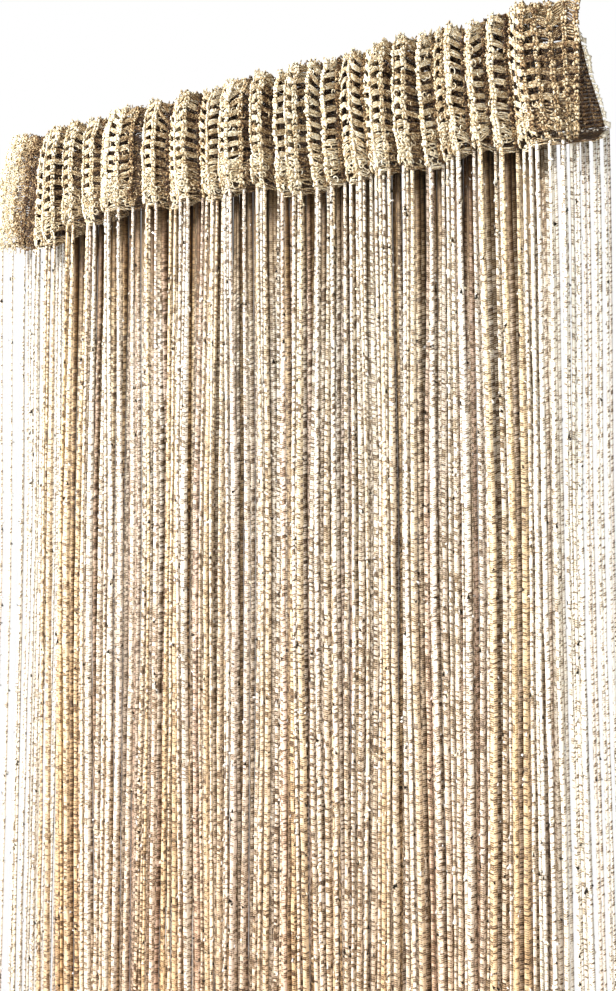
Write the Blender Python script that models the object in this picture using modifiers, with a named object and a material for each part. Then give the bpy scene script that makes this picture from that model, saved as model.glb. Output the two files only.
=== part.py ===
"""String curtain: a knitted band with a rod pocket, hung in gathers, and two rows of strings below it."""

import math
from collections import namedtuple

import bmesh
import bpy

# Sizes of the flat goods, in metres
PITCH = 0.0103  # between two pillars of the knitted band, with a string to each on both walls
DROP = 2.0  # from the top edge to the string ends
END_SPREAD = 0.012  # how unevenly the string ends are cut
BAND_THICKNESS = 0.0016
STRING_WIDTH = 0.0032
STRING_THICKNESS = 0.0015
BACKING_HEIGHT = 0.003
BESIDE = 0.001  # how far along the seam its direction is read

# How the gathered band hangs
FOLD_SHARPNESS = 1.5  # 1 gives creased valleys, 2 gives narrow ridges
MOST_STATIONS = 6  # columns of the band's mesh in one fold
BAND_FLARE = 0.010  # how much further each end reaches at the band's bottom edge
FRONT_SLIP = 0.012  # how far the front wall's foot has slipped in at the right-hand mouth
BACK_SLIP = 0.016  # how far the back wall's top is drawn in there
SLIP_START = 0.5  # where in the last fold these begin
FRILL_WAVE = 0.0013  # how uneven the top edge is
FRILL_STEP = 2.1  # radians of that wave from one fold to the next
FRILL_RUN = 5.0  # radians of it across one fold

# How the strings hang
STRING_SPREAD = 0.055  # outward drift, as a share of the distance from the middle
SPREAD_LENGTH = 0.6
SWAY = 0.0022
SWAY_RATE = 4.5  # radians of sway to a metre
SWAY_STEP = 0.30  # radians of it from one string to the next, so that neighbours sway together
SETTLE_LENGTH = 0.3
TWIST_LENGTH = 1.6
FIRST_DRAW = 0.618034  # steps of two even spreads between 0 and 1, which set the strings apart
SECOND_DRAW = 0.326239

# One row for each fold, left to right: pillars taken up, width as gathered, height of the band there,
# place of its ridge across the fold, fullness at the bottom edge, and how far its foot stands to the right
Fold = namedtuple("Fold", "pillars width height ridge fullness lean")
FOLDS = (
    Fold(5, 0.0416, 0.091, 0.24, 1.10, -0.006),
    Fold(2, 0.0135, 0.096, 0.50, 0.90, 0.000),
    Fold(4, 0.0277, 0.096, 0.45, 1.15, 0.005),
    Fold(4, 0.0225, 0.083, 0.48, 1.00, 0.004),
    Fold(4, 0.0245, 0.086, 0.45, 0.85, 0.003),
    Fold(6, 0.0465, 0.079, 0.40, 1.15, 0.001),
    Fold(4, 0.0272, 0.080, 0.45, 1.05, 0.002),
    Fold(2, 0.0119, 0.085, 0.50, 0.80, 0.003),
    Fold(4, 0.0217, 0.080, 0.45, 1.05, 0.004),
    Fold(2, 0.0109, 0.084, 0.50, 0.70, 0.004),
    Fold(3, 0.0140, 0.084, 0.55, 0.95, 0.002),
    Fold(5, 0.0355, 0.083, 0.42, 1.10, 0.001),
    Fold(4, 0.0187, 0.083, 0.45, 0.95, 0.002),
    Fold(3, 0.0173, 0.092, 0.50, 1.00, 0.003),
    Fold(4, 0.0184, 0.094, 0.45, 1.05, 0.004),
    Fold(3, 0.0124, 0.093, 0.50, 0.90, 0.004),
    Fold(3, 0.0159, 0.091, 0.50, 1.05, 0.004),
    Fold(2, 0.0119, 0.092, 0.50, 1.00, 0.004),
    Fold(3, 0.0118, 0.088, 0.55, 0.95, 0.004),
    Fold(2, 0.0089, 0.091, 0.50, 0.80, 0.003),
    Fold(4, 0.0202, 0.090, 0.42, 1.10, 0.003),
    Fold(4, 0.0202, 0.091, 0.45, 1.05, 0.003),
    Fold(3, 0.0132, 0.094, 0.50, 0.95, 0.003),
    Fold(2, 0.0082, 0.089, 0.50, 0.90, 0.003),
    Fold(3, 0.0178, 0.087, 0.45, 1.10, 0.003),
    Fold(3, 0.0174, 0.086, 0.45, 1.05, 0.003),
    Fold(3, 0.0174, 0.092, 0.45, 1.00, 0.002),
    Fold(2, 0.0106, 0.092, 0.50, 0.60, 0.001),
    Fold(6, 0.0451, 0.093, 0.20, 1.00, 0.002),
)

# One row for each level around the tube, from the bottom seam up the front and down the back: wall, depth below
# the top as a share of the height, set of the wall behind the rod's line, share of each fold, most that it follows
Level = namedtuple("Level", "wall below set push most")
LEVELS = (
    Level("front", 1.00, -0.0080, 0.92, 1.0),
    Level("front", 0.90, -0.0092, 0.96, 1.0),
    Level("front", 0.62, -0.0098, 1.00, 1.0),
    Level("front", 0.34, -0.0098, 1.00, 1.0),
    Level("front", 0.15, -0.0085, 0.97, 1.0),
    Level("front", 0.07, -0.0062, 0.92, 1.0),
    Level("front", 0.00, -0.0056, 0.90, 1.0),
    Level("back", 0.00, -0.0028, 0.90, 1.0),
    Level("back", 0.07, -0.0024, 0.90, 1.0),
    Level("back", 0.20, 0.0150, 0.60, 0.014),
    Level("back", 0.58, 0.0165, 0.60, 0.014),
    Level("back", 0.88, 0.0155, 0.62, 0.014),
    Level("back", 1.00, -0.0052, 0.92, 1.0),
)

# One row for each row of strings: its seam, from the middle of the seam's wall down to the backing's top, the corners
# of the backing at each string and in the gap beside it, how far down each string's shape is set, above its end, and
# the most that a string turns
StringRow = namedtuple("StringRow", "node seam drop corners levels twist")
FRONT_ROW = StringRow(
    "string_fringe",
    Level("front", 1.0, -0.0066, 0.92, 1.0),
    0.0022,
    ("left", "right", "gap"),
    (0.12, 0.42, 0.80, 1.25),
    1.1,
)
BACK_ROW = StringRow(
    "back_string_fringe",
    Level("back", 0.88, 0.0155, 0.62, 0.014),
    0.0053,
    ("left", "right"),
    (0.70,),
    0.5,
)
CORNER_SIDES = {"left": -1, "right": 1, "gap": 0}

STRINGS = sum(fold.pillars for fold in FOLDS)
GATHERED = sum(fold.width for fold in FOLDS)


def clear_scene():
    for item in list(bpy.data.objects):
        bpy.data.objects.remove(item, do_unlink=True)


def smooth(share):
    share = min(max(share, 0.0), 1.0)
    return share * share * (3.0 - 2.0 * share)


def locate(flat):
    """The number of the fold that holds a place on the flat band, where that fold starts, and the share across it."""
    taken = 0.0
    start = -GATHERED / 2
    for number, fold in enumerate(FOLDS):
        cut = fold.pillars * PITCH
        if flat < taken + cut or number == len(FOLDS) - 1:
            return number, start, min((flat - taken) / cut, 1.0)
        taken += cut
        start += fold.width


def between(number, share, name):
    """A named value of the folds, eased from the middle of one fold to the middle of the next."""
    other = number - 1 if share < 0.5 else number + 1
    other = min(max(other, 0), len(FOLDS) - 1)
    own = getattr(FOLDS[number], name)
    return own + (getattr(FOLDS[other], name) - own) * abs(share - 0.5)


def fold_push(number, share):
    """How far a fold stands out towards the front."""
    fold = FOLDS[number]
    cut = fold.pillars * PITCH
    depth = 0.5 * math.sqrt(cut * cut - fold.width * fold.width)
    turned = share ** (math.log(0.5) / math.log(fold.ridge))
    return depth * max(math.sin(math.pi * turned), 0.0) ** FOLD_SHARPNESS


def on_band(flat, level):
    """The point of the band's wall at a flat place and a level."""
    number, start, share = locate(flat)
    push = fold_push(number, share)
    push *= 1.0 + (between(number, share, "fullness") - 1.0) * level.below
    push = min(push, level.most)
    x = start + FOLDS[number].width * share
    x += BAND_FLARE * level.below * x / (GATHERED / 2)
    x += between(number, share, "lean") * (level.below - 0.5)
    if number == len(FOLDS) - 1:
        slip = smooth((share - SLIP_START) / (1.0 - SLIP_START))
        if level.wall == "front":
            x -= FRONT_SLIP * slip * level.below ** 2
        else:
            x -= BACK_SLIP * slip * (0.5 + 0.5 * math.cos(math.pi * level.below)) ** 0.5
    wave = FRILL_WAVE * math.sin(FRILL_STEP * number + FRILL_RUN * share) * (1.0 - level.below)
    return x, level.set - level.push * push, wave - between(number, share, "height") * level.below


def band_stations():
    """Flat places where the band's mesh has a column: the start of each fold, places across it, and the end."""
    places = []
    taken = 0.0
    for fold in FOLDS:
        steps = min(fold.pillars + 2, MOST_STATIONS)
        for step in range(steps):
            places.append(taken + fold.pillars * PITCH * step / steps)
        taken += fold.pillars * PITCH
    return places + [taken]


def finish_object(name, mesh_builder, collection, material):
    mesh = bpy.data.meshes.new(name)
    mesh_builder.to_mesh(mesh)
    mesh_builder.free()
    made = bpy.data.objects.new(name, mesh)
    made.data.materials.append(material)
    collection.objects.link(made)
    return made


def yarn_material(name, color, roughness):
    material = bpy.data.materials.new(name)
    material.use_nodes = True
    shader = material.node_tree.nodes["Principled BSDF"]
    shader.inputs["Base Color"].default_value = (*color, 1.0)
    shader.inputs["Roughness"].default_value = roughness
    shader.inputs["Metallic"].default_value = 0.0
    return material


def build_heading_band(collection):
    """A gathered tube, open at both ends, closed along its top frill and its bottom seam."""
    places = band_stations()
    band = bmesh.new()
    columns, rows = len(places) - 1, len(LEVELS)
    bmesh.ops.create_grid(band, x_segments=columns, y_segments=rows, size=1.0)
    for vertex in band.verts:
        column = round((vertex.co.x + 1.0) / 2.0 * columns)
        row = round((vertex.co.y + 1.0) / 2.0 * rows)
        vertex.co = on_band(places[column], LEVELS[row % rows])
    bmesh.ops.remove_doubles(band, verts=band.verts, dist=0.00001)
    bmesh.ops.recalc_face_normals(band, faces=band.faces)
    made = finish_object(
        "heading_band", band, collection, yarn_material("knitted_champagne_yarn", (0.66, 0.52, 0.33), 0.8)
    )
    wall = made.modifiers.new("wall", "SOLIDIFY")
    wall.thickness = BAND_THICKNESS
    wall.offset = 0.0
    return made


def seam_frame(row, flat):
    """A point of a row's seam and the way that the seam runs there, as an angle seen from above."""
    before = on_band(max(flat - BESIDE, 0.0), row.seam)
    after = on_band(min(flat + BESIDE, STRINGS * PITCH), row.seam)
    return on_band(flat, row.seam), math.atan2(after[1] - before[1], after[0] - before[0])


def flat_section(x, y, turn, side, face):
    """A corner of a flat cord's section: side along its width, face across its thickness."""
    along, across = side * STRING_WIDTH / 2, face * STRING_THICKNESS / 2
    return (
        x + along * math.cos(turn) - across * math.sin(turn),
        y + along * math.sin(turn) + across * math.cos(turn),
    )


def string_corner(row, number, level, side, face):
    """A corner of a string at one of its levels, as it sways and turns on its way down."""
    (x, y, z), turn = seam_frame(row, (number + 0.5) * PITCH)
    first_draw = (number * FIRST_DRAW) % 1.0
    second_draw = (number * SECOND_DRAW) % 1.0
    if level < len(row.levels):
        hang = row.levels[level]
    else:
        hang = DROP + z - END_SPREAD * second_draw
    settled = smooth(hang / SETTLE_LENGTH)
    x += x * STRING_SPREAD * (1.0 - math.exp(-hang / SPREAD_LENGTH))
    x += SWAY * math.sin(SWAY_RATE * hang + SWAY_STEP * number) * settled
    y += SWAY * math.cos(SWAY_RATE * hang - SWAY_STEP * number) * settled
    turn += row.twist * (2.0 * first_draw - 1.0) * smooth(hang / TWIST_LENGTH)
    return (*flat_section(x, y, turn, side, face), z - hang)


def build_string_row(row, collection, material):
    """A narrow backing under a seam, with each string drawn down out of its underside."""
    columns = [(number, CORNER_SIDES[corner]) for number in range(STRINGS) for corner in row.corners]
    while columns[-1][1] == 0:
        columns.pop()
    fringe = bmesh.new()
    bmesh.ops.create_grid(fringe, x_segments=len(columns) - 1, y_segments=1, size=1.0)
    corner_of = {}
    for vertex in fringe.verts:
        number, side = columns[round((vertex.co.x + 1.0) / 2.0 * (len(columns) - 1))]
        face = 1 if vertex.co.y > 0 else -1
        middle = number + 1.0 if side == 0 else number + 0.5
        (x, y, z), turn = seam_frame(row, middle * PITCH)
        vertex.co = (*flat_section(x, y, turn, side, face), z - row.drop - BACKING_HEIGHT)
        corner_of[vertex] = (number, side, face)
    roots = []
    for cell in fringe.faces:
        found = [corner_of[vertex] for vertex in cell.verts]
        if all(side for number, side, face in found) and len({number for number, side, face in found}) == 1:
            roots.append(cell)
    raised = bmesh.ops.extrude_face_region(fringe, geom=list(fringe.faces), use_keep_orig=True)
    for item in raised["geom"]:
        if isinstance(item, bmesh.types.BMVert):
            item.co.z += BACKING_HEIGHT
    for root in roots:
        corners = [corner_of[vertex] for vertex in root.verts]
        for level in range(len(row.levels) + 1):
            root = bmesh.ops.extrude_discrete_faces(fringe, faces=[root])["faces"][0]
            for vertex, (number, side, face) in zip(root.verts, corners):
                vertex.co = string_corner(row, number, level, side, face)
    bmesh.ops.recalc_face_normals(fringe, faces=fringe.faces)
    return finish_object(row.node, fringe, collection, material)


def main():
    clear_scene()
    collection = bpy.data.collections.new("string_curtain")
    bpy.context.scene.collection.children.link(collection)
    build_heading_band(collection)
    string_material = yarn_material("chained_tinsel_string", (0.80, 0.70, 0.54), 0.6)
    for row in (FRONT_ROW, BACK_ROW):
        build_string_row(row, collection, string_material)


main()
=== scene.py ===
import bisect
import bpy
import math
import random
from mathutils import Matrix, Vector, noise


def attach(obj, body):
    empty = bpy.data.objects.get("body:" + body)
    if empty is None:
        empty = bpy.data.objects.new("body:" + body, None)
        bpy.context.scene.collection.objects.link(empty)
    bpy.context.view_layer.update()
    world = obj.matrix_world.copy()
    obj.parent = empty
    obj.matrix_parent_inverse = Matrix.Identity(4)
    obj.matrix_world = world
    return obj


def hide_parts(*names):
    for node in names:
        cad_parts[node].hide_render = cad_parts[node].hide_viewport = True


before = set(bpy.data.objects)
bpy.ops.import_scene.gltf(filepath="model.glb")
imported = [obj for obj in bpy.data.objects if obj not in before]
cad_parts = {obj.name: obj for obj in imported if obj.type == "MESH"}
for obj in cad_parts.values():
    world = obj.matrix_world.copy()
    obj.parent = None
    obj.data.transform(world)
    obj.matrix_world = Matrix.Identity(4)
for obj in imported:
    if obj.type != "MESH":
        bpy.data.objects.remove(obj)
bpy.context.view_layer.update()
print("frame loaded")


# The flat goods and how they hang, with the values of the solids
goods = {
    "pitch": 0.0103,        # between two pillars, with one string to each on both walls
    "drop": 2.0,
    "endSpread": 0.012,     # how unevenly the strings are cut
    "bandFlare": 0.010,     # how far the foot stands out at both ends
    "frontSlip": 0.012,     # how far the walls draw back at the right-hand mouth
    "backSlip": 0.016,
    "slipStart": 0.5,
    "foldSharpness": 1.5,
    "frillWave": 0.0013,
    "frillStep": 2.1,       # radians from fold to fold
    "frillRun": 5.0,        # radians across a fold
    "stringSpread": 0.055,  # the strings stand further apart lower down
    "spreadLength": 0.6,
    "sway": 0.0022,
    "swayRate": 4.5,
    "swayStep": 0.30,
    "settleLength": 0.3,
    "twist": {"front": 1.1, "back": 0.5},
    "twistLength": 1.6,
    "firstDraw": 0.618034,  # steps from string to string
    "secondDraw": 0.326239,
}

# One row for each fold, left to right: pillars taken up, width as gathered, height of the band there,
# place of the ridge across the fold, fullness at the foot, and how far the foot stands to the right
foldColumns = ("pillars", "width", "height", "ridge", "fullness", "lean")
foldRows = (
    (5, 0.0416, 0.091, 0.24, 1.10, -0.006),
    (2, 0.0135, 0.096, 0.50, 0.90, 0.000),
    (4, 0.0277, 0.096, 0.45, 1.15, 0.005),
    (4, 0.0225, 0.083, 0.48, 1.00, 0.004),
    (4, 0.0245, 0.086, 0.45, 0.85, 0.003),
    (6, 0.0465, 0.079, 0.40, 1.15, 0.001),
    (4, 0.0272, 0.080, 0.45, 1.05, 0.002),
    (2, 0.0119, 0.085, 0.50, 0.80, 0.003),
    (4, 0.0217, 0.080, 0.45, 1.05, 0.004),
    (2, 0.0109, 0.084, 0.50, 0.70, 0.004),
    (3, 0.0140, 0.084, 0.55, 0.95, 0.002),
    (5, 0.0355, 0.083, 0.42, 1.10, 0.001),
    (4, 0.0187, 0.083, 0.45, 0.95, 0.002),
    (3, 0.0173, 0.092, 0.50, 1.00, 0.003),
    (4, 0.0184, 0.094, 0.45, 1.05, 0.004),
    (3, 0.0124, 0.093, 0.50, 0.90, 0.004),
    (3, 0.0159, 0.091, 0.50, 1.05, 0.004),
    (2, 0.0119, 0.092, 0.50, 1.00, 0.004),
    (3, 0.0118, 0.088, 0.55, 0.95, 0.004),
    (2, 0.0089, 0.091, 0.50, 0.80, 0.003),
    (4, 0.0202, 0.090, 0.42, 1.10, 0.003),
    (4, 0.0202, 0.091, 0.45, 1.05, 0.003),
    (3, 0.0132, 0.094, 0.50, 0.95, 0.003),
    (2, 0.0082, 0.089, 0.50, 0.90, 0.003),
    (3, 0.0178, 0.087, 0.45, 1.10, 0.003),
    (3, 0.0174, 0.086, 0.45, 1.05, 0.003),
    (3, 0.0174, 0.092, 0.45, 1.00, 0.002),
    (2, 0.0106, 0.092, 0.50, 0.60, 0.001),
    (6, 0.0451, 0.093, 0.20, 1.00, 0.002),
)
folds = [dict(zip(foldColumns, row)) for row in foldRows]

# One row for each level of a wall, top to bottom: depth as a share of the height, set behind the rod's line,
# share of each fold that it follows, and the most that it follows
walls = {
    "front": (
        (0.00, -0.0056, 0.90, 1.0),
        (0.07, -0.0062, 0.92, 1.0),
        (0.15, -0.0085, 0.97, 1.0),
        (0.34, -0.0098, 1.00, 1.0),
        (0.62, -0.0098, 1.00, 1.0),
        (0.90, -0.0092, 0.96, 1.0),
        (1.00, -0.0080, 0.92, 1.0),
    ),
    "back": (
        (0.00, -0.0028, 0.90, 1.0),
        (0.07, -0.0024, 0.90, 1.0),
        (0.20, 0.0150, 0.60, 0.014),
        (0.58, 0.0165, 0.60, 0.014),
        (0.88, 0.0155, 0.62, 0.014),
        (1.00, -0.0052, 0.92, 1.0),
    ),
}
# Where the two rows of strings grow out of the band: wall, share of its height, and that level's values
seams = {"front": ("front", 1.0, (-0.0066, 0.92, 1.0)), "back": ("back", 0.88, (0.0155, 0.62, 0.014))}
# The plane that each row falls towards, the length it does it in, and the share of the way that it falls
planes = {"front": (-0.0155, 0.42, 0.45), "back": (0.0115, 0.70, 0.85)}

pillarCount = sum(fold["pillars"] for fold in folds)
gathered = sum(fold["width"] for fold in folds)
flatWidth = pillarCount * goods["pitch"]
flatHeight = 0.09           # of each wall

foldFlats = []              # flat place where each fold starts, and its place along the rod
foldStarts = []
takenUp, reached = 0.0, -gathered / 2
for fold in folds:
    foldFlats.append(takenUp)
    foldStarts.append(reached)
    takenUp += fold["pillars"] * goods["pitch"]
    reached += fold["width"]


def smooth(share):
    share = min(max(share, 0.0), 1.0)
    return share * share * (3.0 - 2.0 * share)


def between(number, share, name):
    # a fold's value, eased from the middle of one fold to the middle of the next
    other = number - 1 if share < 0.5 else number + 1
    other = min(max(other, 0), len(folds) - 1)
    own = folds[number][name]
    return own + (folds[other][name] - own) * abs(share - 0.5)


def levelOf(wall, below):
    rows = walls[wall]
    for upper, lower in zip(rows, rows[1:]):
        if below <= lower[0] or lower is rows[-1]:
            share = min(max((below - upper[0]) / (lower[0] - upper[0]), 0.0), 1.0)
            return [a + (b - a) * share for a, b in zip(upper[1:], lower[1:])]


def foldAt(flat):
    # number of the fold at a flat place, and the share across it
    number = min(max(bisect.bisect_right(foldFlats, flat) - 1, 0), len(folds) - 1)
    cut = folds[number]["pillars"] * goods["pitch"]
    return number, min(max((flat - foldFlats[number]) / cut, 0.0), 1.0)


def foldDepth(number):
    cut = folds[number]["pillars"] * goods["pitch"]
    return 0.5 * math.sqrt(cut * cut - folds[number]["width"] ** 2)


def foldPush(number, share):
    turned = max(share, 0.0) ** (math.log(0.5) / math.log(folds[number]["ridge"]))
    return foldDepth(number) * max(math.sin(math.pi * turned), 0.0) ** goods["foldSharpness"]


def onBand(flat, below, wall, level):
    number, share = foldAt(flat)
    fold = folds[number]
    setBack, follow, most = level
    push = foldPush(number, share)
    push *= 1.0 + (between(number, share, "fullness") - 1.0) * below
    push = min(push, most)
    x = foldStarts[number] + fold["width"] * share
    x += goods["bandFlare"] * below * x / (gathered / 2)
    x += between(number, share, "lean") * (below - 0.5)
    if number == len(folds) - 1:
        slip = smooth((share - goods["slipStart"]) / (1.0 - goods["slipStart"]))
        if wall == "front":
            x -= goods["frontSlip"] * slip * below * abs(below)
        else:
            rounded = 0.5 + 0.5 * math.cos(math.pi * min(max(below, 0.0), 1.0))
            x -= goods["backSlip"] * slip * rounded ** 0.5
    wave = goods["frillWave"] * math.sin(goods["frillStep"] * number + goods["frillRun"] * share)
    wave *= 1.0 - below
    return Vector((x, setBack - follow * push, wave - between(number, share, "height") * below))


def evenPlaces(wall, count):
    # shares of the depth, top to bottom, that are evenly far apart along the wall's own curve
    rows = walls[wall]
    reach = [0.0]
    for upper, lower in zip(rows, rows[1:]):
        reach.append(reach[-1] + math.hypot((lower[0] - upper[0]) * flatHeight, lower[1] - upper[1]))
    places = []
    for number in range(count):
        wanted = reach[-1] * (number + 0.5) / count
        part = min(bisect.bisect_right(reach, wanted), len(rows) - 1)
        share = (wanted - reach[part - 1]) / (reach[part] - reach[part - 1])
        places.append(rows[part - 1][0] + (rows[part][0] - rows[part - 1][0]) * share)
    return places


# The small unevenness of hand-gathered knit
crumple = {
    "depth": 0.0016,
    "sideways": 0.0008,
    "atTop": 0.4,           # share of the depth along the top edge
    "acrossRate": 55.0,
    "downRate": 5.0,
    "layer": {"front": 0.0, "back": 9.0},   # where in the noise each wall lies
    "sidewaysLayer": 4.0,
}
alongStep = 0.001           # m to either side, to find the cloth's direction
downStep = 0.02             # the same in shares of the height


def onWall(wall, flat, below):
    point = onBand(flat, below, wall, levelOf(wall, below))
    place = Vector((flat * crumple["acrossRate"], below * crumple["downRate"], crumple["layer"][wall]))
    share = crumple["atTop"] + (1.0 - crumple["atTop"]) * below
    point.y += crumple["depth"] * noise.noise(place) * share
    point.x += crumple["sideways"] * noise.noise(place + Vector((0.0, 0.0, crumple["sidewaysLayer"])))
    return point


def wallFrame(wall, flat, below):
    # point of the cloth with its directions along the band, down it and out of it
    point = onWall(wall, flat, below)
    along = (onWall(wall, flat + alongStep, below) - onWall(wall, flat - alongStep, below)).normalized()
    down = (onWall(wall, flat, below + downStep) - onWall(wall, flat, below - downStep)).normalized()
    out = down.cross(along) if wall == "front" else along.cross(down)
    return point, along, down, out.normalized()


def linearColour(code):
    parts = [int(code[i:i + 2], 16) / 255 for i in (1, 3, 5)]
    return (*[p / 12.92 if p <= 0.04045 else ((p + 0.055) / 1.055) ** 2.4 for p in parts], 1.0)


def addNode(tree, kind, inputs=None, **settings):
    node = tree.nodes.new(kind)
    for name, value in settings.items():
        setattr(node, name, value)
    for name, value in (inputs or {}).items():
        if isinstance(value, bpy.types.NodeSocket):
            tree.links.new(value, node.inputs[name])
        else:
            node.inputs[name].default_value = value
    return node


def newMaterial(name):
    material = bpy.data.materials.new(name)
    material.use_nodes = True
    material.node_tree.nodes.clear()
    return material, material.node_tree


def deselectAll():
    if bpy.context.object and bpy.context.object.mode != "OBJECT":
        bpy.ops.object.mode_set(mode="OBJECT")
    bpy.ops.object.select_all(action="DESELECT")


def pointsOf(piece):
    return [vertex.co.copy() for vertex in piece.data.vertices]


def arch(share):
    # 0 at both ends, 1 in the middle
    return math.sin(math.pi * min(max(share, 0.0), 1.0))


def pickOnly(piece):
    deselectAll()
    piece.select_set(True)
    bpy.context.view_layer.objects.active = piece


def madeCopies(piece, count):
    # the modelled shape, repeated; each copy's points are then set in place
    pickOnly(piece)
    repeat = piece.modifiers.new("copies", "ARRAY")
    repeat.count = count
    repeat.use_relative_offset = False
    repeat.use_constant_offset = True
    repeat.constant_offset_displace = (0.01, 0.0, 0.0)
    bpy.ops.object.modifier_apply(modifier="copies")


def placeCopies(piece, count, placeOne):
    # placeOne(number) gives the points of one copy, in the order of the modelled shape's points
    moved = []
    for number in range(count):
        for point in placeOne(number):
            moved.extend(point)
    piece.data.vertices.foreach_set("co", moved)
    piece.data.update()


def setShades(piece, shades):
    # how light each point is, for its material; for yarn and cords this is painted light and shade beside
    # random tone
    layer = piece.data.attributes.new("shade", "FLOAT", "POINT")
    layer.data.foreach_set("value", shades)


def tidyPiece(piece, name, material, node):
    piece.name = piece.data.name = name
    piece.data.materials.clear()
    piece.data.materials.append(material)
    pickOnly(piece)
    bpy.ops.object.shade_smooth()
    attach(piece, "root")
    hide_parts(node)
    print(name, "made,", sum(len(face.vertices) - 2 for face in piece.data.polygons), "triangles")


# Camera at the photo's angle, taken from the lines of the heading
view = {
    "place": (0.9387, -0.9613, -0.365),
    "heading": 42.92,       # degrees
    "pitch": 2.30,
    "focalPixels": 1799.6,
    "photoPixels": 616,     # width of the photo
    "sensor": 36.0,         # mm
}
bpy.ops.object.camera_add(location=view["place"])
camera = bpy.context.object
camera.rotation_euler = (math.radians(90 + view["pitch"]), 0.0, math.radians(view["heading"]))
camera.data.sensor_fit = "HORIZONTAL"
camera.data.sensor_width = view["sensor"]
camera.data.lens = view["sensor"] * view["focalPixels"] / view["photoPixels"]
bpy.context.scene.camera = camera

studio = {
    "floorLevel": -2.02,
    "floorSize": 5.0,
    "floorTone": "#EFEDE8",
    "paper": "#FFFFFF",     # behind the curtain, as the camera sees it
    "fill": "#FFF7EC",      # soft light from all round
    "fillStrength": 0.14,
}
bpy.ops.mesh.primitive_plane_add(size=studio["floorSize"], location=(0.0, 0.0, studio["floorLevel"]))
floor = bpy.context.object
floor.name = "floor"
floorMaterial, tree = newMaterial("paleStudioFloor")
shader = addNode(tree, "ShaderNodeBsdfPrincipled", {"Base Color": linearColour(studio["floorTone"]),
                                                    "Roughness": 0.7, "Specular IOR Level": 0.2})
addNode(tree, "ShaderNodeOutputMaterial", {"Surface": shader.outputs["BSDF"]})
floor.data.materials.append(floorMaterial)

world = bpy.data.worlds.new("studio")
bpy.context.scene.world = world
world.use_nodes = True
world.node_tree.nodes.clear()
tree = world.node_tree
seen = addNode(tree, "ShaderNodeBackground", {"Color": linearColour(studio["paper"]), "Strength": 1.0})
given = addNode(tree, "ShaderNodeBackground",
                {"Color": linearColour(studio["fill"]), "Strength": studio["fillStrength"]})
path = addNode(tree, "ShaderNodeLightPath")
both = addNode(tree, "ShaderNodeMixShader", {0: path.outputs["Is Camera Ray"]})
tree.links.new(given.outputs[0], both.inputs[1])
tree.links.new(seen.outputs[0], both.inputs[2])
addNode(tree, "ShaderNodeOutputWorld", {"Surface": both.outputs[0]})

# name, place, what it faces, size, watts, colour
lamps = (
    ("keySoftbox", (-0.95, -2.3, 1.0), (0.0, 0.0, -0.3), 0.8, 166.0, "#FFFBF5"),
    ("sideSoftbox", (2.0, -2.0, 0.3), (0.0, 0.0, -0.5), 1.2, 22.0, "#FFFAF2"),
    ("leftSoftbox", (-0.55, -0.85, -0.35), (-0.33, 0.0, -0.35), 0.4, 5.0, "#FFFFFF"),
    ("rightSoftbox", (0.62, -0.80, -0.55), (0.34, 0.0, -0.50), 0.3, 3.0, "#FFFFFF"),
    ("backSoftbox", (-1.2, 2.4, 0.8), (0.0, 0.0, -0.8), 1.5, 45.0, "#FFFBF5"),
)
for name, place, aim, size, watts, colour in lamps:
    bpy.ops.object.light_add(type="AREA", location=place)
    lamp = bpy.context.object
    lamp.name = name
    lamp.rotation_euler = (Vector(aim) - Vector(place)).to_track_quat("-Z", "Y").to_euler()
    lamp.data.size = size
    lamp.data.energy = watts
    lamp.data.color = linearColour(colour)[:3]
bpy.context.scene.view_settings.view_transform = "Standard"
print("camera, floor and lights placed")


# Materials: what the real ones are
def addRamp(tree, value, stops, interpolation="LINEAR"):
    # stops: place and colour; the first two are the ramp's own, the others are added
    ramp = addNode(tree, "ShaderNodeValToRGB", {"Fac": value})
    ramp.color_ramp.interpolation = interpolation
    for number, (place, code) in enumerate(stops):
        stop = ramp.color_ramp.elements[number] if number < 2 else ramp.color_ramp.elements.new(place)
        stop.position = place
        stop.color = linearColour(code)
    return ramp.outputs["Color"]


def addMath(tree, operation, first, second=None, third=None):
    given = {number: value for number, value in enumerate((first, second, third)) if value is not None}
    return addNode(tree, "ShaderNodeMath", given, operation=operation).outputs[0]


def addRange(tree, value, source, target):
    return addNode(tree, "ShaderNodeMapRange",
                   {"Value": value, "From Min": source[0], "From Max": source[1],
                    "To Min": target[0], "To Max": target[1]}).outputs[0]


def addNoise(tree, grain):
    # grain in mm
    position = addNode(tree, "ShaderNodeTexCoord").outputs["Object"]
    return addNode(tree, "ShaderNodeTexNoise",
                   {"Vector": position, "Scale": 1000 / grain, "Detail": 1.0}).outputs["Fac"]


# reads the shade attribute, which holds painted light and shade for yarn and cords
def addShade(tree):
    return addNode(tree, "ShaderNodeAttribute", attribute_name="shade").outputs["Fac"]


def addSurface(tree, settings):
    shader = addNode(tree, "ShaderNodeBsdfPrincipled", settings)
    addNode(tree, "ShaderNodeOutputMaterial", {"Surface": shader.outputs["BSDF"]})


yarn = {
    "stops": ((0.02, "#2F1B0E"), (0.98, "#FFFBEC"), (0.26, "#7C5C38"), (0.50, "#C7AE83"), (0.72, "#EEE2C4")),
    "mottleSize": 1.8,      # mm, patches of lighter and darker fibre
    "mottleShare": 1.1,
    "fibreSize": 0.7,       # mm, single plies, coarser than the real 0.15 mm so that they show
    "fibreShare": 1.5,
    "level": -1.3,          # the two shares even out around 0
}
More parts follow.
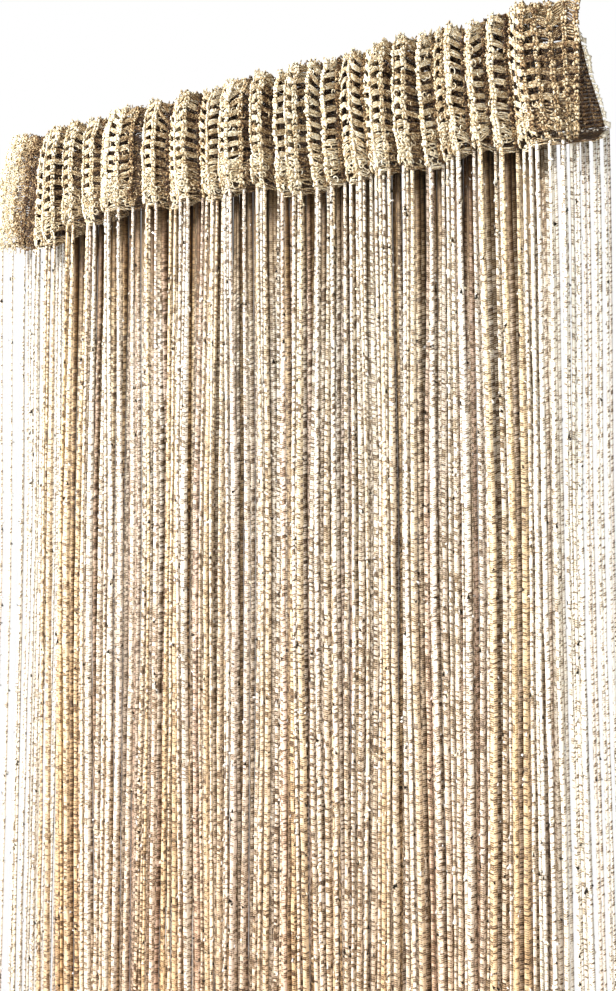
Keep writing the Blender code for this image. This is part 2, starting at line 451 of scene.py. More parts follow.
# matt spun yarn: soft sheen, mottled, dark between stitches
bandYarn, tree = newMaterial("knittedSpunYarn")
fibre = addNoise(tree, yarn["fibreSize"])
uneven = addMath(tree, "MULTIPLY_ADD", fibre, yarn["fibreShare"], yarn["level"])
uneven = addMath(tree, "MULTIPLY_ADD", addNoise(tree, yarn["mottleSize"]), yarn["mottleShare"], uneven)
colour = addRamp(tree, addMath(tree, "ADD", uneven, addShade(tree)), yarn["stops"])
bump = addNode(tree, "ShaderNodeBump", {"Height": fibre, "Strength": 0.6, "Distance": 0.0004})
addSurface(tree, {"Base Color": colour, "Normal": bump.outputs["Normal"], "Roughness": 0.72,
                  "Specular IOR Level": 0.3, "Sheen Weight": 0.15, "Sheen Roughness": 0.4})

# Places across a cord are shares of its half width, 0 in its middle and 1 at its edge
cord = {
    "stops": ((0.02, "#4C3A28"), (0.98, "#FFFFFA"), (0.24, "#917A5B"), (0.47, "#CFBFA3"), (0.72, "#F2EADA")),
    "stitch": 0.00145,      # m along the cord, a little coarser than the real 1.2 mm so that it shows
    "slant": 0.55,          # of a stitch, from the middle to the edge
    "sideShift": 0.15,      # of a stitch, one row against the other
    "flanks": (-0.4, 0.3),  # of the wave, from the groove up to the stitch
    "numberShift": 0.25,    # so that a stitch's number changes in the groove
    "groove": 0.90,         # painted shade between the stitches: how much darker it is there
    "grooveMiddle": 0.42,   # place across where it is deepest
    "grooveFade": (0.20, 0.42),
    "grooveEnd": 0.45,      # share of it left at the fade's end
    "uneven": 1.95,         # how much the stitches differ
    "fleckSize": 1.4,       # mm
    "fleckShare": 1.2,
    "level": -1.52,         # the two even out around 0
    "darkShades": (0.20, 0.70),     # cords in deep shade show less of their pattern
    "darkContrast": 0.10,
    "rim": 0.40,            # painted shade along its edges, between the strings: how much darker they are
    "rimStart": 0.72,
    "tints": ("#FFFFFF", "#DFB78A"),    # all of them are warmer lower down
    "tintLengths": (0.12, 0.75),        # m below the band
    "tintMost": 0.65,
    # dye lots from string to string, pinkish to golden
    "lots": ((0.0, "#EDD6CC"), (1.0, "#F4DCB4"), (0.25, "#FFFFFF"), (0.58, "#FFFFFF"), (0.82, "#F6E6C8")),
    "paleShades": (1.05, 1.25),     # the palest strings are painted as if in full light and show little dye
    "paleDye": 0.25,
}
# flat chain of spun yarn and film: two rows of slanted stitches
cordYarn, tree = newMaterial("chainedTinselCord")
place = addNode(tree, "ShaderNodeAttribute", attribute_name="chain").outputs["Vector"]
offset, hang, ownNumber = addNode(tree, "ShaderNodeSeparateXYZ", {0: place}).outputs
across = addMath(tree, "ABSOLUTE", offset)
side = addMath(tree, "GREATER_THAN", offset, 0.0)
turns = addMath(tree, "MULTIPLY", side, cord["sideShift"])
turns = addMath(tree, "MULTIPLY_ADD", across, cord["slant"], turns)
turns = addMath(tree, "MULTIPLY_ADD", hang, 1 / cord["stitch"], turns)
wave = addMath(tree, "SINE", addMath(tree, "MULTIPLY", turns, 2 * math.pi))
lobe = addRange(tree, wave, cord["flanks"], (0.0, 1.0))
heart = addMath(tree, "ABSOLUTE", addMath(tree, "SUBTRACT", across, cord["grooveMiddle"]))
heart = addRange(tree, heart, cord["grooveFade"], (1.0, cord["grooveEnd"]))
groove = addMath(tree, "MULTIPLY", addMath(tree, "SUBTRACT", 1.0, lobe), heart)
# every stitch has a tone of its own
stitchNumber = addMath(tree, "FLOOR", addMath(tree, "SUBTRACT", turns, cord["numberShift"]))
own = addNode(tree, "ShaderNodeCombineXYZ", {"X": stitchNumber, "Y": side, "Z": ownNumber}).outputs[0]
draw = addNode(tree, "ShaderNodeTexWhiteNoise", {"Vector": own}, noise_dimensions="3D").outputs["Value"]
flecks = addMath(tree, "MULTIPLY_ADD", addNoise(tree, cord["fleckSize"]), cord["fleckShare"], cord["level"])
tone = addMath(tree, "MULTIPLY_ADD", draw, cord["uneven"], flecks)
# painted shade in the grooves between the stitches
tone = addMath(tree, "SUBTRACT", tone, addMath(tree, "MULTIPLY", groove, cord["groove"]))
shade = addShade(tree)
tone = addMath(tree, "MULTIPLY_ADD", tone,
               addRange(tree, shade, cord["darkShades"], (cord["darkContrast"], 1.0)), shade)
# painted shade along the cord's edges
tone = addMath(tree, "SUBTRACT", tone, addRange(tree, across, (cord["rimStart"], 1.0), (0.0, cord["rim"])))
colour = addRamp(tree, tone, cord["stops"])
warmth = addRange(tree, hang, cord["tintLengths"], (0.0, cord["tintMost"]))
tint = addNode(tree, "ShaderNodeMix", {0: warmth, 6: linearColour(cord["tints"][0]),
                                       7: linearColour(cord["tints"][1])}, data_type="RGBA").outputs[2]
lot = addNode(tree, "ShaderNodeTexWhiteNoise", {"W": ownNumber}, noise_dimensions="1D").outputs["Value"]
# strings painted pale, as if in full light, take little dye
dyed = addRange(tree, shade, cord["paleShades"], (1.0, cord["paleDye"]))
for dye in (tint, addRamp(tree, lot, cord["lots"])):
    colour = addNode(tree, "ShaderNodeMix", {0: dyed, 6: colour, 7: dye}, data_type="RGBA",
                     blend_type="MULTIPLY").outputs[2]
bump = addNode(tree, "ShaderNodeBump", {"Height": lobe, "Strength": 0.25, "Distance": 0.0004})
addSurface(tree, {"Base Color": colour, "Normal": bump.outputs["Normal"], "Roughness": 0.5,
                  "Specular IOR Level": 0.45, "Sheen Weight": 0.1, "Sheen Roughness": 0.4})

# cut metallised film: a third of it painted dark, standing in for dark reflections; the rest white or pale
# gold, whose diffuse brightness is partly painted glint
film = {"stops": ((0.0, "#221B14"), (0.36, "#FFFFFF"), (0.85, "#FFF6DC")), "metal": 0.35}
tinselFilm, tree = newMaterial("aluminisedFilm")
addSurface(tree, {"Base Color": addRamp(tree, addShade(tree), film["stops"], "CONSTANT"),
                  "Metallic": film["metal"], "Roughness": 0.25})
print("materials made")


# How light the band's yarn is, as painted light and shade: pale on the ridges, brown down in the valleys and
# dark inside the pocket
shading = {
    "mouthPanel": 0.52,     # the flat panel beside the right-hand mouth, as if this high up a fold
    "steepness": 1.2,
    "start": 0.1,
    "valley": 0.05,
    "ridge": 0.68,          # lighter than the valley by this
    "spread": 0.18,
    "back": (0.50, 0.72),
    # painted shade inside the pocket
    "inside": 0.08,
}


def ridgeShare(flat):
    # 1 on a fold's ridge, 0 in the valleys beside it; it sets painted shade, and the first fold's left part
    # counts as a ridge
    number, share = foldAt(flat)
    if number == 0 and share < folds[number]["ridge"]:
        return 1.0
    if number == len(folds) - 1 and share > folds[number]["ridge"]:
        return shading["mouthPanel"]
    return foldPush(number, share) / foldDepth(number)


# painted shade across the gathers of the front wall, with random tone; random tone alone on the back wall
def wallShade(wall, flat, draw):
    if wall == "back":
        return draw.uniform(*shading["back"])
    lit = smooth(shading["steepness"] * ridgeShare(flat) - shading["start"])
    return shading["valley"] + shading["ridge"] * lit + draw.uniform(-1, 1) * shading["spread"]


def finishYarn(piece, name, count, placeOne, shades):
    placeCopies(piece, count, placeOne)
    setShades(piece, shades)
    tidyPiece(piece, name, bandYarn, "heading_band")
    return piece


# The knit's pillars: one chain stitch of two leaning lobes, repeated down each pillar
pillar = {
    "seed": {"front": 11, "back": 12},
    "stitches": 38,
    "lobeLength": 0.0035,
    "lobeWidth": 0.0024,
    "lobeThickness": 0.0018,
    "coneDepth": 0.65,      # a lobe is a cone with its base drawn out to a point
    "coneMiddle": -0.18,
    "baseDrawn": 0.35,
    "halfSpread": 0.00145,  # from the pillar's middle to a lobe's middle
    "splay": 22.0,          # degrees that the lobes lean apart upwards
    "standOut": 0.0008,
    "jitter": 0.00030,
    "rowJitter": 0.15,      # of the space between two stitches
    "sizes": (0.72, 1.28),
    "topSize": 0.7,         # of the stitches along the top edge
    "turn": 0.50,           # radians to either side
    "tips": (0.15, 0.35),   # a lobe's upper end stands out over the one above
    "rimSize": 1.5,         # of the stitches along the mouth's free edge
    # painted light on the mouth's free edge, which lies in shade
    "paintedRimLight": 1.0,
    "rimEnd": 3,            # stitches above the foot at which that edge ends
    "litRows": 3,           # stitches under the top edge that are left out of the painted shade inside
}


def modelStitch():
    deselectAll()
    lobes = []
    for side in (-1, 1):
        bpy.ops.mesh.primitive_cone_add(vertices=5, radius1=0.5, radius2=0.0, depth=pillar["coneDepth"],
                                        end_fill_type="TRIFAN", location=(0.0, 0.0, pillar["coneMiddle"]))
        lobe = bpy.context.object
        bpy.ops.object.mode_set(mode="EDIT")
        bpy.ops.mesh.select_all(action="DESELECT")
        bpy.ops.object.mode_set(mode="OBJECT")
        for vertex in lobe.data.vertices:
            vertex.select = Vector(vertex.co).xy.length < 0.01 and vertex.co.z < 0.0
        bpy.ops.object.mode_set(mode="EDIT")
        bpy.ops.transform.translate(value=(0.0, 0.0, -pillar["baseDrawn"]))
        bpy.ops.mesh.select_all(action="SELECT")
        bpy.ops.transform.resize(value=(pillar["lobeWidth"], pillar["lobeThickness"], -pillar["lobeLength"]),
                                 center_override=(0.0, 0.0, 0.0))
        bpy.ops.transform.rotate(value=side * math.radians(pillar["splay"]), orient_axis="Y",
                                 center_override=(0.0, 0.0, 0.0))
        bpy.ops.transform.translate(value=(side * pillar["halfSpread"], 0.0, 0.0))
        bpy.ops.mesh.normals_make_consistent(inside=False)
        bpy.ops.object.mode_set(mode="OBJECT")
        lobes.append(lobe)
        deselectAll()
    for lobe in lobes:
        lobe.select_set(True)
    bpy.context.view_layer.objects.active = lobes[0]
    bpy.ops.object.join()
    stitch = bpy.context.object
    bpy.ops.object.transform_apply(location=True, rotation=True, scale=True)
    return stitch


def makePillars(wall, name):
    draw = random.Random(pillar["seed"][wall])
    stitch = modelStitch()
    points = pointsOf(stitch)
    count = pillarCount * pillar["stitches"]
    madeCopies(stitch, count)
    places = evenPlaces(wall, pillar["stitches"])
    shades = []

    def placeOne(number):
        column, row = divmod(number, pillar["stitches"])
        flat = (column + 0.5) * goods["pitch"] + draw.uniform(-1, 1) * pillar["jitter"]
        below = places[row] + draw.uniform(-1, 1) * pillar["rowJitter"] / pillar["stitches"]
        point, along, down, out = wallFrame(wall, flat, below)
        point = point + out * (pillar["standOut"] + draw.uniform(-1, 1) * pillar["jitter"])
        size = draw.uniform(*pillar["sizes"]) * (pillar["topSize"] if row == 0 else 1.0)
        turned = draw.uniform(-1, 1) * pillar["turn"]
        c, s = math.cos(turned), math.sin(turned)
        along, down = along * c + down * s, down * c - along * s
        tip = draw.uniform(*pillar["tips"])
        own = wallShade(wall, flat, draw)
        rim = column == pillarCount - 1 and row < pillar["stitches"] - pillar["rimEnd"]
        # the mouth's free edge is painted light, the inside of the back wall painted dark as shade
        if rim and wall == "back":
            own = pillar["paintedRimLight"]
            size *= pillar["rimSize"]
        paintedDark = wall == "back" and row >= pillar["litRows"] and not rim
        shades.extend([shading["inside"] if paintedDark and p.y > 0.0 else own for p in points])
        return [point + size * (along * p.x - down * p.z + out * (p.z * tip - p.y)) for p in points]

    return finishYarn(stitch, name, count, placeOne, shades)


frontPillars = makePillars("front", "frontPillars")
backPillars = makePillars("back", "backPillars")


# The knit's weft: bundles of fine threads that cross from pillar to pillar, leaf-shaped, slanting by turns
openWeft = {
    "seed": 21,
    # share of the height down to each bundle: open at first, close and crumpled in the foot
    "rows": (0.045, 0.135, 0.228, 0.320, 0.412, 0.505, 0.597, 0.685, 0.755, 0.810, 0.860, 0.905),
    "threads": 5,
    "threadWidth": 0.0012,
    "threadThickness": 0.0009,
    "middleGap": 0.00092,   # between the threads of a bundle in mid-air
    "endGap": 0.00050,      # the same where they enter a pillar
    "slant": 0.0010,
    "fanSlant": 0.0030,
    "bulge": 0.0006,
}
# the pocket's back is knitted close
closeWeft = {
    "seed": 22,
    "rows": evenPlaces("back", 44),
    "threads": 1,
    "threadWidth": 0.0034,
    "threadThickness": 0.0012,
    "middleGap": 0.0,
    "endGap": 0.0,
    "slant": 0.0004,
    "fanSlant": 0.0006,
    "bulge": 0.0004,
}
# How bundles and their threads differ; the foot is the front wall's crumpled lower part
weave = {
    "leans": (0.5, 1.3),
    "fanEnd": 0.42,         # share of the height where bundles stop fanning out
    "fanRun": 0.3,
    "fanColumns": (1, 2),
    "fanElsewhere": 0.3,
    "skew": 0.5,
    "fullness": (0.75, 1.15),
    "bulges": (0.3, 1.4),
    "darker": 0.04,         # than the pillars
    "threadShade": 0.08,
    "slack": 0.00022,
    "lift": 0.00015,
    "setBack": 0.0001,
    "footStart": 0.62,
    "footRun": 0.25,
    "footLean": 0.0022,
    "footCalm": 0.5,
    "footFullness": 0.35,
    "footSlack": 0.0011,
    "footLift": 0.0009,
    "footSlope": 0.0032,
    "closeLeft": 3,         # columns at the left end that have no holes
    "closeRight": 94,       # the same from this one on at the right, near the top
    "closeFade": 2,
    "closeBelow": 0.32,
    "closeBelowFade": 0.12,
    "closeSpread": 1.05,
    "widening": 0.4,        # share of that spread taken up by wider threads
    "paintedDarkBelow": 0.1,       # from here down the back wall is painted dark inside, as shade
}


def modelRod(sides, radius, cuts):
    # a straight closed rod one unit long along z, cut across again and again
    deselectAll()
    bpy.ops.mesh.primitive_cylinder_add(vertices=sides, radius=radius, depth=1.0, end_fill_type="NGON")
    rod = bpy.context.object
    bpy.context.tool_settings.mesh_select_mode = (False, True, False)
    for number in cuts:
        for part in (rod.data.vertices, rod.data.edges, rod.data.polygons):
            for item in part:
                item.select = False
        for edge in rod.data.edges:
            ends = [rod.data.vertices[i].co.z for i in edge.vertices]
            edge.select = abs(ends[0] - ends[1]) > 0.0001
        bpy.ops.object.mode_set(mode="EDIT")
        bpy.ops.mesh.subdivide(number_cuts=number)
        bpy.ops.object.mode_set(mode="OBJECT")
    bpy.context.tool_settings.mesh_select_mode = (True, False, False)
    return rod


def makeWeft(wall, name, weft):
    draw = random.Random(weft["seed"])
    thread = modelRod(3, 0.5, (2,))
    points = pointsOf(thread)
    threads = weft["threads"]
    perColumn = len(weft["rows"]) * threads
    count = (pillarCount - 1) * perColumn
    madeCopies(thread, count)
    shades = []
    bundle = {}

    def startBundle(column, below, foot):
        fanned = smooth((weave["fanEnd"] - below) / weave["fanRun"])
        fanned *= 1.0 if column % 5 in weave["fanColumns"] else weave["fanElsewhere"]
        lean = (1 if column % 2 else -1) * (weft["slant"] + weft["fanSlant"] * fanned)
        lean *= draw.uniform(*weave["leans"]) * (1.0 - weave["footCalm"] * foot)
        bundle["lean"] = lean + draw.uniform(-1, 1) * weave["footLean"] * foot
        bundle["skew"] = draw.uniform(-1, 1) * weave["skew"]
        bundle["full"] = draw.uniform(*weave["fullness"]) * (1.0 + weave["footFullness"] * foot)
        bundle["out"] = draw.uniform(*weave["bulges"]) * weft["bulge"]
        bundle["shade"] = wallShade(wall, (column + 1.0) * goods["pitch"], draw) - weave["darker"]
        left = 1.0 - smooth((column - weave["closeLeft"]) / weave["closeFade"])
        right = smooth((column - weave["closeRight"]) / weave["closeFade"])
        right *= smooth((weave["closeBelow"] - below) / weave["closeBelowFade"])
        dense = max(left, right) if wall == "front" else 0.0
        bundle["spread"] = 1.0 + weave["closeSpread"] * dense

    def placeOne(number):
        column, rest = divmod(number, perColumn)
        row, strand = divmod(rest, threads)
        below = weft["rows"][row]
        foot = smooth((below - weave["footStart"]) / weave["footRun"]) if wall == "front" else 0.0
        if strand == 0:
            startBundle(column, below, foot)
        step = strand - (threads - 1) / 2
        slack = draw.uniform(-1, 1) * (weave["slack"] + weave["footSlack"] * foot)
        lift = draw.uniform(-1, 1) * (weave["lift"] + weave["footLift"] * foot)
        slope = draw.uniform(-1, 1) * weave["footSlope"] * foot
        own = bundle["shade"] + draw.uniform(-1, 1) * weave["threadShade"]
        # painted shade on the inside of the pocket's back wall
        paintedDark = wall == "back" and below > weave["paintedDarkBelow"]
        shades.extend([shading["inside"] if paintedDark and p.y < 0.0 else own for p in points])
        fold, share = foldAt((column + 1) * goods["pitch"])
        height = folds[fold]["height"]
        wide = weft["threadWidth"] * (1.0 + weave["widening"] * (bundle["spread"] - 1.0))
        frames = {}
        placed = []
        for p in points:
            t = p.z + 0.5
            key = round(t, 3)
            if key not in frames:
                tilt = (t - 0.5) * 2.0
                swell = arch(t) * (1.0 + bundle["skew"] * tilt)
                gap = weft["endGap"] + (weft["middleGap"] * bundle["full"] - weft["endGap"]) * swell
                drop = (bundle["lean"] + slope) * tilt + step * gap * bundle["spread"] + slack * arch(t)
                flat = (column + 0.5 + t) * goods["pitch"]
                point, along, down, out = wallFrame(wall, flat, below + drop / height)
                raised = (bundle["out"] + lift) * arch(t) - weave["setBack"]
                frames[key] = (point + out * raised, down, out)
            point, down, out = frames[key]
            placed.append(point + down * (p.x * wide) + out * (p.y * weft["threadThickness"]))
        return placed

    return finishYarn(thread, name, count, placeOne, shades)


frontWeft = makeWeft("front", "frontWeft", openWeft)
backWeft = makeWeft("back", "backWeft", closeWeft)


# Loops along the top edge, where the cloth turns over
frill = {
    "loops": 6,             # to each space between pillars
    "places": (0.1, 0.9),   # of a loop in its own sixth of that space
    "width": 0.0014,
    "below": 0.035,         # share of the height where a loop's ends lie
    "frontBelow": (0.3, 1.8),
    "backBelow": (0.3, 1.5),
    "drift": 0.003,
    "rise": 0.0034,
    "rises": (0.4, 1.5),
    "lean": 0.0025,
    "forward": 0.0008,
    "lift": 0.0006,
}


def makeFrill():
    draw = random.Random(31)
    loop = modelRod(3, 0.5, (4,))
    points = pointsOf(loop)
    count = (pillarCount - 1) * frill["loops"]
    madeCopies(loop, count)
    shades = []

    def placeOne(number):
        column, strand = divmod(number, frill["loops"])
        flat = (column + 0.5 + (strand + draw.uniform(*frill["places"])) / frill["loops"]) * goods["pitch"]
        start = onWall("front", flat, frill["below"] * draw.uniform(*frill["frontBelow"]))
        other = flat + draw.uniform(-1, 1) * frill["drift"]
        end = onWall("back", other, frill["below"] * draw.uniform(*frill["backBelow"]))
        rise = frill["rise"] * draw.uniform(*frill["rises"])
        lean = draw.uniform(-1, 1) * frill["lean"]
        shades.extend([wallShade("front", flat, draw)] * len(points))
        placed = []
        for p in points:
            t = p.z + 0.5
            up = arch(t)
            middle = start.lerp(end, t)
            middle += Vector((lean * up, -frill["forward"] * up, rise * up + frill["lift"]))
            placed.append(middle + Vector((p.x, p.y * (1 - up), p.y * up)) * frill["width"])
        return placed

    return finishYarn(loop, "topFrill", count, placeOne, shades)


# The rung of threads that closes the foot
rung = {
    "threads": 4,
    "width": 0.0010,
    "rise": 0.0034,         # from the lowest of them to the highest
    "jitter": 0.1,          # share of that
    "drop": 0.0010,         # below the seam
    "setOut": 0.0004,
    "slant": 0.0030,
    "sag": 0.0008,
    "sags": (-0.5, 1.0),
}


def seamPoint(row, flat):
    wall, below, level = seams[row]
    return onBand(min(max(flat, 0.0), flatWidth), below, wall, level)


def makeRung():
    draw = random.Random(32)
    thread = modelRod(3, 0.5, (2,))
    points = pointsOf(thread)
    count = (pillarCount - 1) * rung["threads"]
    madeCopies(thread, count)
    shades = []

    def placeOne(number):
        column, strand = divmod(number, rung["threads"])
        height = rung["rise"] * (strand / (rung["threads"] - 1) + draw.uniform(-1, 1) * rung["jitter"])
        outward = (draw.uniform(-1, 1) - 1.0) * rung["setOut"]
        slant = draw.uniform(-1, 1) * rung["slant"]
        sag = rung["sag"] * draw.uniform(*rung["sags"])
        shades.extend([wallShade("front", (column + 1.0) * goods["pitch"], draw)] * len(points))
        placed = []
        for p in points:
            t = p.z + 0.5
            middle = seamPoint("front", (column + 0.5 + t) * goods["pitch"])
            lift = height + slant * (t - 0.5) - sag * arch(t) - rung["drop"]
            middle += Vector((0.0, outward, lift))
            placed.append(middle + Vector((0.0, p.x, p.y)) * rung["width"])
        return placed

    return finishYarn(thread, "footRung", count, placeOne, shades)


topFrill = makeFrill()
footRung = makeRung()


# Slack yarn that curls over the gathered front, most of all at the foot and at the left end
curl = {
    "count": 2250,
    "width": 0.0009,
    "radius": (0.0009, 0.0019),
    "tall": 1.3,
    "sweep": (2.4, 4.6),    # radians
    "standOut": 0.0016,
    "standOuts": (0.6, 1.3),
    "endsOut": 0.35,        # share of it at a curl's two ends
    "endColumns": 6,        # at the left end, where they lie closest
    "endPortion": 0.30,
    "endBelow": 1.06,       # there they reach down past the foot
    "footPortion": 0.55,
    "footBelow": (0.72, 0.99),
    "restBelow": 0.95,
    "bareColumns": 7.0,     # at the right end, above the foot
    "margin": 0.2,          # of a column, free at both ends
    "lighter": 0.12,        # than the pillars
    "lightest": 0.95,
}


def makeCurls():
    draw = random.Random(36)
    thread = modelRod(3, 0.5, (5,))
    points = pointsOf(thread)
    madeCopies(thread, curl["count"])
    shades = []

    def placeOne(number):
        atEnd = draw.random() < curl["endPortion"]
        low = not atEnd and draw.random() < curl["footPortion"]
        free = curl["margin"] if low else curl["bareColumns"]
        last = curl["endColumns"] if atEnd else pillarCount - free
        flat = draw.uniform(curl["margin"], last) * goods["pitch"]
        lowest = curl["endBelow"] if atEnd else curl["restBelow"]
        below = draw.uniform(*(curl["footBelow"] if low else (0.0, lowest)))
        point, along, down, out = wallFrame("front", flat, below)
        radius = draw.uniform(*curl["radius"])
        start = draw.uniform(0.0, 2 * math.pi)
        sweep = draw.uniform(*curl["sweep"]) * draw.choice((-1, 1))
        rise = draw.uniform(*curl["standOuts"]) * curl["standOut"]
        own = min(wallShade("front", flat, draw) + curl["lighter"], curl["lightest"])
        shades.extend([own] * len(points))
        placed = []
        for p in points:
            t = p.z + 0.5
            angle = start + sweep * t
            outward = along * math.cos(angle) + down * (math.sin(angle) * curl["tall"])
            raised = rise * (curl["endsOut"] + (1.0 - curl["endsOut"]) * arch(t))
            middle = point + outward * radius + out * raised
            placed.append(middle + (outward * p.x + out * p.y) * curl["width"])
        return placed

    return finishYarn(thread, "slackCurls", curl["count"], placeOne, shades)


slackCurls = makeCurls()


# The strings: flat chained cords, narrow and taut under the band and fuller below, in a front and a back row.
# A front string is one cord, a back string a pair of thinner ones.
string = {
    "members": {"front": 1, "back": 2},
    "sides": {"front": 6, "back": 4},
    "cuts": {"front": (16, 14), "back": (8, 8)},
    "seedStep": {"front": 0, "back": 500},
    "topWidth": 0.0025,
    "lowWidth": 0.0047,
    "thickness": 0.0020,
    "bulge": 1.15,          # a cord's middle is this much thicker
    "fillLength": 0.24,
    "widthJitter": 0.20,
    "widthDraw": 0.754878,  # step from string to string
    "widthNoise": 0.16,
    "widthRate": 60.0,      # turns of the noise to each metre; every noise has a layer of its own
    "thicknessNoise": 0.2,
    "thicknessRate": 80.0,
    "kinkRate": 28.0,
    "turnRate": 9.0,
    "kink": {"front": 0.0006, "back": 0.00018},
    "rise": 0.001,          # how far a string starts above the seam, inside its pillar
    "overlap": 1.22,        # width of the back row's pairs in their spacing
    "pairWidth": 0.56,      # of each cord in its pair
    "stagger": 0.0004,      # one cord of a pair hangs further back, the other forward
    "squared": 0.7,         # how far the pairs turn flat to the front
    "restless": {"front": 0.7, "back": 0.25},   # radians to and fro
    "wander": {"front": 0.0, "back": 50.0},     # where in the noise each row lies
    # the back row's lower value is painted shade, as it hangs deeper behind the front row
    "shades": {"front": 0.84, "back": 0.63},
    "shadeSpread": {"front": 0.12, "back": 0.19},
    "paintedRidgeLight": 0.22,      # painted light and shade: front strings are lighter under the ridges, darker in the valleys
    "ridgeSteepness": 1.3,
    "paintedPaleEnds": 5,         # strings 0 to 5 from each end are painted pale, as if in full light
    "lightFade": 3,
    "endNarrowing": {"front": 0.35, "back": 0.55},
    # painted light on the end strings
    "paleShade": 1.45,
    "paleShare": 0.8,
    "shadedLength": 0.15,   # the band's painted shade reaches this far down the back row
    "shaded": 0.78,
    "rearLift": 0.30,       # the back row's rear side is lighter by this and has none of the painted shade of its front
    "lotStep": 1.37,        # gives every string a dye lot of its own
}


def seamFrame(row, flat):
    before, after = seamPoint(row, flat - alongStep), seamPoint(row, flat + alongStep)
    return seamPoint(row, flat), math.atan2(after.y - before.y, after.x - before.x)


middles = [(number + 0.5) * goods["pitch"] for number in range(pillarCount)]
roots = {row: [seamFrame(row, flat) for flat in middles] for row in seams}


def stringAxis(row, number, hang):
    point, turn = roots[row][number]
    firstDraw = (number * goods["firstDraw"]) % 1.0
    settled = smooth(hang / goods["settleLength"])
    wander = number * 3.7 + string["wander"][row]
    x = point.x + point.x * goods["stringSpread"] * (1.0 - math.exp(-max(hang, 0.0) / goods["spreadLength"]))
    x += goods["sway"] * math.sin(goods["swayRate"] * hang + goods["swayStep"] * number) * settled
    plane, fall, fallen = planes[row]
    y = point.y + (plane - point.y) * fallen * min(max(hang, 0.0) / fall, 1.0)
    y += goods["sway"] * math.cos(goods["swayRate"] * hang - goods["swayStep"] * number) * settled
    if row == "back":
        turn *= 1.0 - string["squared"] * smooth(hang / string["fillLength"])
    turn += goods["twist"][row] * (2.0 * firstDraw - 1.0) * smooth(hang / goods["twistLength"])
    turn += string["restless"][row] * settled * noise.noise(Vector((hang * string["turnRate"], wander, 2.0)))
    kink = string["kink"][row] * settled
    x += kink * noise.noise(Vector((hang * string["kinkRate"], wander, 0.0)))
    y += kink * noise.noise(Vector((hang * string["kinkRate"], wander, 5.0)))
    return x, y, point.z - hang, turn


def endShare(number):
    # 1 on the outermost strings, 0 in the middle of the curtain
    fromEnd = min(number, pillarCount - 1 - number)
    return 1.0 - smooth((fromEnd - string["paintedPaleEnds"]) / string["lightFade"])


def stringSize(row, number, hang):
    narrowed = 1.0 - string["endNarrowing"][row] * endShare(number)
    if row == "back":
        here = roots[row][number][0].xy
        beside = [other for other in (number - 1, number + 1) if 0 <= other < pillarCount]
        step = max((roots[row][other][0].xy - here).length for other in beside)
        width = step * string["overlap"] * narrowed
    else:
        own = 1.0 + string["widthJitter"] * (2.0 * ((number * string["widthDraw"]) % 1.0) - 1.0)
        low = string["lowWidth"] * own * narrowed
        width = string["topWidth"] + (low - string["topWidth"]) * smooth(hang / string["fillLength"])
    ripple = noise.noise(Vector((hang * string["widthRate"], number * 2.3, 7.0)))
    width *= 1.0 + string["widthNoise"] * ripple
    ripple = noise.noise(Vector((hang * string["thicknessRate"], number * 1.9, 3.0)))
    return width, string["thickness"] * (1.0 + string["thicknessNoise"] * ripple)


def stringLength(row, number):
    secondDraw = (number * goods["secondDraw"]) % 1.0
    return goods["drop"] + roots[row][number][0].z - goods["endSpread"] * secondDraw


def makeStrings(row, first, last, name):
    draw = random.Random(first + string["seedStep"][row])
    members = string["members"][row]
    strand = modelRod(string["sides"][row], 1.0, string["cuts"][row])
    points = pointsOf(strand)
    count = (last - first) * members
    madeCopies(strand, count)
    shades = []
    chain = []

    def placeOne(copy):
        number = first + copy // members
        beside = copy % members - (members - 1) / 2
        length = stringLength(row, number) + string["rise"]
        pale = endShare(number)
        shade = string["shades"][row] + draw.uniform(-1, 1) * string["shadeSpread"][row]
        # front strings are painted lighter under the ridges and darker in the valleys; end strings are
        # painted pale, as if in full light
        if row == "front":
            shade += string["paintedRidgeLight"] * smooth(string["ridgeSteepness"] * ridgeShare(middles[number]))
        rearShade = shade + string["rearLift"]
        shade += string["paleShare"] * pale * (string["paleShade"] - shade)
        rings = {}
        placed = []
        for p in points:
            key = round(p.z, 5)
            hang = (0.5 - p.z) * length - string["rise"]
            if key not in rings:
                width, thickness = stringSize(row, number, hang)
                x, y, z, turned = stringAxis(row, number, hang)
                c, s = math.cos(turned), math.sin(turned)
                x += beside * width / 2 * c
                y += beside * (width / 2 * s + 2 * string["stagger"])
                width *= string["pairWidth"] if members == 2 else 1.0
                rings[key] = (x, y, z, c, s, width / 2, string["bulge"] * thickness / 2)
            x, y, z, c, s, half, thick = rings[key]
            along, outward = p.x * half, p.y * thick
            placed.append((x + along * c - outward * s, y + along * s + outward * c, z))
            chain.extend((p.x, hang, number * string["lotStep"] + beside))
            if row == "front":
                shades.append(shade)
            elif p.y > 0.1:
                shades.append(rearShade)
            else:
                # the band's shade, painted on the front of the back row
                shaded = (1.0 - pale) * (1.0 - smooth(hang / string["shadedLength"]))
                shades.append(shade * (1.0 - string["shaded"] * shaded))
        return placed

    placeCopies(strand, count, placeOne)
    setShades(strand, shades)
    layer = strand.data.attributes.new("chain", "FLOAT_VECTOR", "POINT")
    layer.data.foreach_set("vector", chain)
    node = "string_fringe" if row == "front" else "back_string_fringe"
    tidyPiece(strand, name, cordYarn, node)


for row, first, last, name in (
    ("front", 0, 50, "frontStringsLeft"),
    ("front", 50, pillarCount, "frontStringsRight"),
    ("back", 0, pillarCount, "backStrings"),
):
    makeStrings(row, first, last, name)


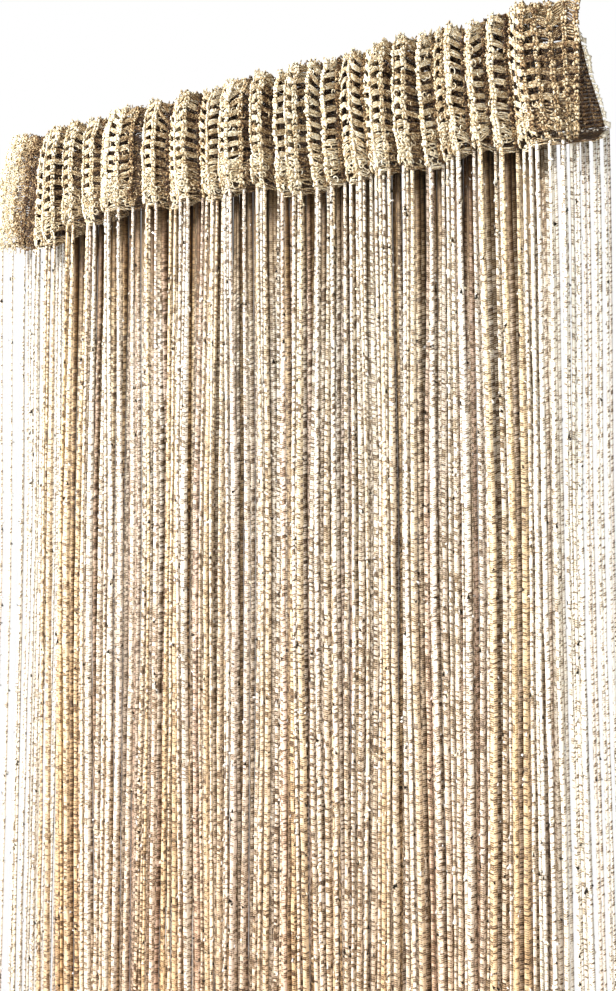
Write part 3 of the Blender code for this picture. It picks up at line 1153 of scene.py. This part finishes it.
# Slivers of film caught in the chains, in small clusters
tinsel = {
    "clusters": {"front": 80, "back": 20},      # to a string
    "members": 2,
    "clusterLength": 0.005,
    "length": 0.0028,
    "width": 0.0020,
    "thickness": 0.0013,
    "radius": 0.58,         # of the three-sided sliver, in its width
    "tilt": 35.0,           # degrees
    "sizes": (0.55, 1.35),
    "standOut": (0.0002, 0.0004),   # beyond a string's width and thickness
    "topFree": 0.008,
    "endFree": 0.015,
}


def makeTinsel():
    draw = random.Random(41)
    deselectAll()
    bpy.ops.mesh.primitive_cone_add(vertices=3, radius1=tinsel["radius"], radius2=0.0, depth=1.0)
    sliver = bpy.context.object
    bpy.ops.object.mode_set(mode="EDIT")
    bpy.ops.mesh.select_all(action="SELECT")
    bpy.ops.transform.resize(value=(tinsel["width"], tinsel["thickness"], tinsel["length"]),
                             center_override=(0.0, 0.0, 0.0))
    bpy.ops.object.mode_set(mode="OBJECT")
    points = pointsOf(sliver)
    spots = [(row, number, member) for row in seams for number in range(pillarCount)
             for repeat in range(tinsel["clusters"][row]) for member in range(tinsel["members"])]
    cluster = {}
    madeCopies(sliver, len(spots))
    shades = []

    def placeOne(copy):
        row, number, member = spots[copy]
        if member == 0:
            cluster["hang"] = draw.uniform(tinsel["topFree"], stringLength(row, number) - tinsel["endFree"])
        hang = cluster["hang"] + draw.uniform(-0.5, 0.5) * tinsel["clusterLength"]
        x, y, z, turned = stringAxis(row, number, hang)
        width, thickness = stringSize(row, number, hang)
        around = draw.uniform(0.0, 2 * math.pi)
        out = Vector((math.cos(around) * (width / 2 + tinsel["standOut"][0]),
                      math.sin(around) * (thickness / 2 + tinsel["standOut"][1]), 0.0))
        turn = Matrix.Rotation(turned, 3, "Z")
        lean = Matrix.Rotation(math.radians(draw.gauss(0.0, tinsel["tilt"])), 3, "Y")
        spin = Matrix.Rotation(draw.uniform(0.0, math.pi), 3, "Z")
        size = draw.uniform(*tinsel["sizes"])
        shades.extend([draw.random()] * len(points))
        centre = Vector((x, y, z)) + turn @ out
        return [centre + size * (turn @ (lean @ (spin @ p))) for p in points]

    placeCopies(sliver, len(spots), placeOne)
    setShades(sliver, shades)
    tidyPiece(sliver, "tinselSlivers", tinselFilm, "string_fringe")


makeTinsel()
